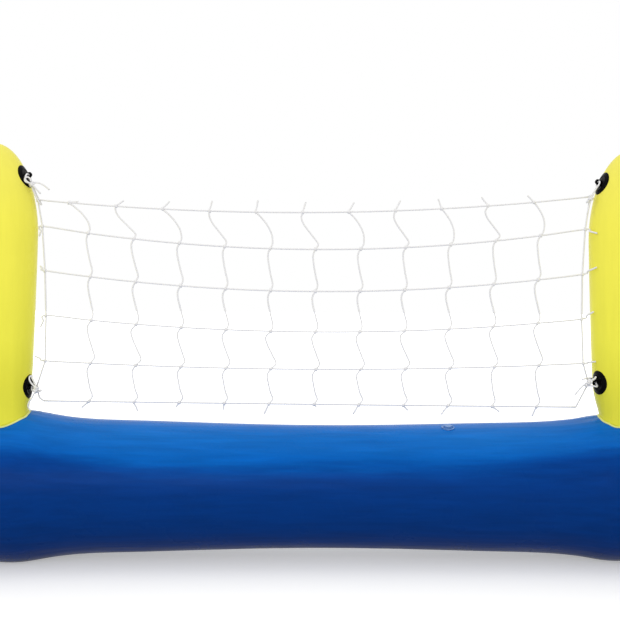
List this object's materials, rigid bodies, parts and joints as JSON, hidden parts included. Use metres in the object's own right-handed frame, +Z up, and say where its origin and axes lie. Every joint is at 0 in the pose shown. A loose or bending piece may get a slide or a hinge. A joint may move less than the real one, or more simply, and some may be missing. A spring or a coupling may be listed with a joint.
{
  "type": "inflatable pool volleyball net set",
  "caption": "Floating volleyball set: domed inflatable posts on a fat base tube with end floats, and a knotted cord net lashed between them.",
  "frame": {"origin": "on the floor under the middle of the set", "axes": "+X along the net, -Y towards the viewer, +Z up"},
  "size_m": [2.1824, 0.6, 0.77],
  "materials": {
    "blue_film": "glossy soft vinyl film, inflated",
    "blue_weld_strip": "pressed weld strip of the same vinyl",
    "yellow_film": "glossy soft vinyl film, inflated",
    "pale_weld_strip": "pressed weld strip, pale",
    "black_moulding": "moulded soft black vinyl, satin",
    "white_cord": "braided white cord",
    "clear_valve_plastic": "clear soft vinyl"
  },
  "bodies": {
    "net_set": {"base_tube": "blue_film", "base_valve_flange": "clear_valve_plastic", "end_float_left": "blue_film", "end_float_right": "blue_film", "eyelet_lower_left": "black_moulding", "eyelet_lower_right": "black_moulding", "eyelet_upper_left": "black_moulding", "eyelet_upper_right": "black_moulding", "foot_strip_left": "pale_weld_strip", "foot_strip_right": "pale_weld_strip", "joint_strip_left": "blue_weld_strip", "joint_strip_right": "blue_weld_strip", "lashing_lower_left": "white_cord", "lashing_lower_right": "white_cord", "lashing_upper_left": "white_cord", "lashing_upper_right": "white_cord", "left_post_valve_flange": "clear_valve_plastic", "net": "white_cord", "post_left": "yellow_film", "post_right": "yellow_film", "right_post_valve_flange": "clear_valve_plastic", "tether_eyelet_left": "black_moulding", "tether_eyelet_right": "black_moulding"},
    "base_valve_stem": {"base_valve_stem": "clear_valve_plastic"},
    "base_valve_plug": {"base_valve_plug": "clear_valve_plastic"},
    "base_valve_flap": {"base_valve_flap": "clear_valve_plastic"},
    "left_post_valve_stem": {"left_post_valve_stem": "clear_valve_plastic"},
    "left_post_valve_plug": {"left_post_valve_plug": "clear_valve_plastic"},
    "left_post_valve_flap": {"left_post_valve_flap": "clear_valve_plastic"},
    "right_post_valve_stem": {"right_post_valve_stem": "clear_valve_plastic"},
    "right_post_valve_plug": {"right_post_valve_plug": "clear_valve_plastic"},
    "right_post_valve_flap": {"right_post_valve_flap": "clear_valve_plastic"}
  },
  "joints": [
    {"name": "base_valve_pull", "type": "slide", "parent": "net_set", "child": "base_valve_stem", "axis": [0, -0.2079, 0.9781], "range_m": [0, 0.0115]},
    {"name": "base_valve_plug_hinge", "type": "hinge", "parent": "base_valve_stem", "child": "base_valve_plug", "pos_m": [0.2584, -0.02504, 0.24879], "axis": [0, 0.9781, 0.2079], "range_deg": [0, 150]},
    {"name": "base_valve_flap_hinge", "type": "hinge", "parent": "base_valve_stem", "child": "base_valve_flap", "pos_m": [0.2438, -0.02045, 0.22722], "axis": [0, 0.9781, 0.2079], "range_deg": [0, 50], "stiffness_Nm_per_rad": 0.00005, "springref_deg": -20.05},
    {"name": "left_post_valve_pull", "type": "slide", "parent": "net_set", "child": "left_post_valve_stem", "axis": [0, 1, 0], "range_m": [0, 0.0115]},
    {"name": "left_post_valve_plug_hinge", "type": "hinge", "parent": "left_post_valve_stem", "child": "left_post_valve_plug", "pos_m": [-0.601, 0.07689, 0.4404], "axis": [1, 0, 0], "range_deg": [0, 150]},
    {"name": "left_post_valve_flap_hinge", "type": "hinge", "parent": "left_post_valve_stem", "child": "left_post_valve_flap", "pos_m": [-0.601, 0.05484, 0.4258], "axis": [1, 0, 0], "range_deg": [0, 50], "stiffness_Nm_per_rad": 0.00005, "springref_deg": -20.05},
    {"name": "right_post_valve_pull", "type": "slide", "parent": "net_set", "child": "right_post_valve_stem", "axis": [0, 1, 0], "range_m": [0, 0.0115]},
    {"name": "right_post_valve_plug_hinge", "type": "hinge", "parent": "right_post_valve_stem", "child": "right_post_valve_plug", "pos_m": [0.601, 0.07689, 0.4404], "axis": [1, 0, 0], "range_deg": [0, 150]},
    {"name": "right_post_valve_flap_hinge", "type": "hinge", "parent": "right_post_valve_stem", "child": "right_post_valve_flap", "pos_m": [0.601, 0.05484, 0.4258], "axis": [1, 0, 0], "range_deg": [0, 50], "stiffness_Nm_per_rad": 0.00005, "springref_deg": -20.05}
  ]
}
